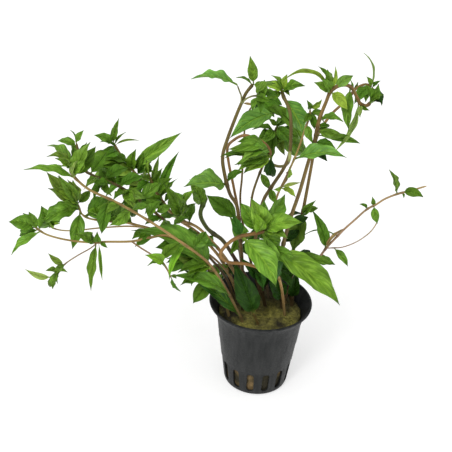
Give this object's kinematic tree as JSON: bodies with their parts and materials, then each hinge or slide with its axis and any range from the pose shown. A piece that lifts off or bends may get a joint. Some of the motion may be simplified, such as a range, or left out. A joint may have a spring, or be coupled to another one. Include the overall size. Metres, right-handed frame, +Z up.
{
  "type": "potted aquarium stem plant in a net pot",
  "caption": "Aquarium stem plant with sprawling and arching leafy stems, rooted in rock wool in a slotted black plastic net pot that stands on its flat base.",
  "frame": {"origin": "centre of the pot's flat base, on the surface that it stands on", "axes": "+Z up along the pot's axis, +X to the side of the runner, +Y to the back, away from the side that the largest leaves face"},
  "size_m": [0.1886, 0.1009, 0.1906],
  "materials": {
    "pot_plastic": "moulded black polypropylene, satin, faintly wavy",
    "rock_wool": "olive brown mineral fibre, damp and matt",
    "stem_tan": "green stem flushed orange tan, smooth with fine grooves",
    "stem_brown": "older stem, dull brown with darker nodes",
    "leaf_young": "bright yellow green leaf, waxy gloss, pale veins",
    "leaf_mature": "mid green leaf, waxy gloss, light veins, quilted blade",
    "leaf_shaded": "dark green leaf, soft gloss, faint veins"
  },
  "bodies": {
    "root": {"pot": "pot_plastic", "rock_wool": "rock_wool", "stem_left_front": "stem_tan", "stem_left_middle": "stem_brown", "stem_left_low": "stem_tan", "stem_left_thin": "stem_tan", "stem_left_long": "stem_tan", "stem_left_back": "stem_tan", "stem_left_top": "stem_tan", "stem_back_dark": "stem_brown", "stem_hairpin": "stem_tan", "stem_arch_left": "stem_brown", "stem_middle_back": "stem_brown", "stem_drooping": "stem_tan", "stem_middle_arch": "stem_brown", "stem_back_centre": "stem_brown", "stem_middle_thin": "stem_tan", "stem_right_inner": "stem_brown", "stem_right_outer": "stem_brown", "stem_runner": "stem_tan", "stem_front_right": "stem_tan", "stem_front_dark": "stem_brown", "leaf_left_front_long": "leaf_young", "leaf_left_front_hanging": "leaf_shaded", "leaf_left_front_basal": "leaf_mature", "leaf_left_low_left": "leaf_mature", "leaf_left_low_crown": "leaf_mature", "leaf_left_low_broad": "leaf_mature", "leaf_left_thin_round": "leaf_mature", "leaf_left_long_end": "leaf_mature", "leaf_left_long_down": "leaf_young", "leaf_left_long_drop": "leaf_mature", "leaf_left_long_sweep": "leaf_mature", "leaf_left_back_edge": "leaf_shaded", "leaf_left_back_broad": "leaf_mature", "leaf_left_top_wing": "leaf_young", "leaf_left_top_roof": "leaf_shaded", "leaf_left_top_left": "leaf_mature", "leaf_left_top_drop": "leaf_shaded", "leaf_back_dark_hanging": "leaf_mature", "leaf_hairpin_front": "leaf_young", "leaf_hairpin_right": "leaf_young", "leaf_hairpin_up": "leaf_young", "leaf_hairpin_left": "leaf_young", "leaf_arch_left_broad": "leaf_mature", "leaf_arch_left_dark": "leaf_shaded", "leaf_arch_left_flag": "leaf_mature", "leaf_arch_left_spire": "leaf_young", "leaf_middle_back_lying": "leaf_mature", "leaf_middle_back_cover": "leaf_shaded", "leaf_middle_arch_veined": "leaf_young", "leaf_middle_thin_lone": "leaf_mature", "leaf_right_inner_bow": "leaf_young", "leaf_right_inner_hanging": "leaf_mature", "leaf_right_inner_ribbon": "leaf_young", "leaf_right_inner_dart": "leaf_shaded", "leaf_right_outer_olive": "leaf_shaded", "leaf_runner_tall": "leaf_shaded", "leaf_front_right_giant": "leaf_young", "leaf_front_dark_blade": "leaf_shaded"}
  },
  "joints": []
}
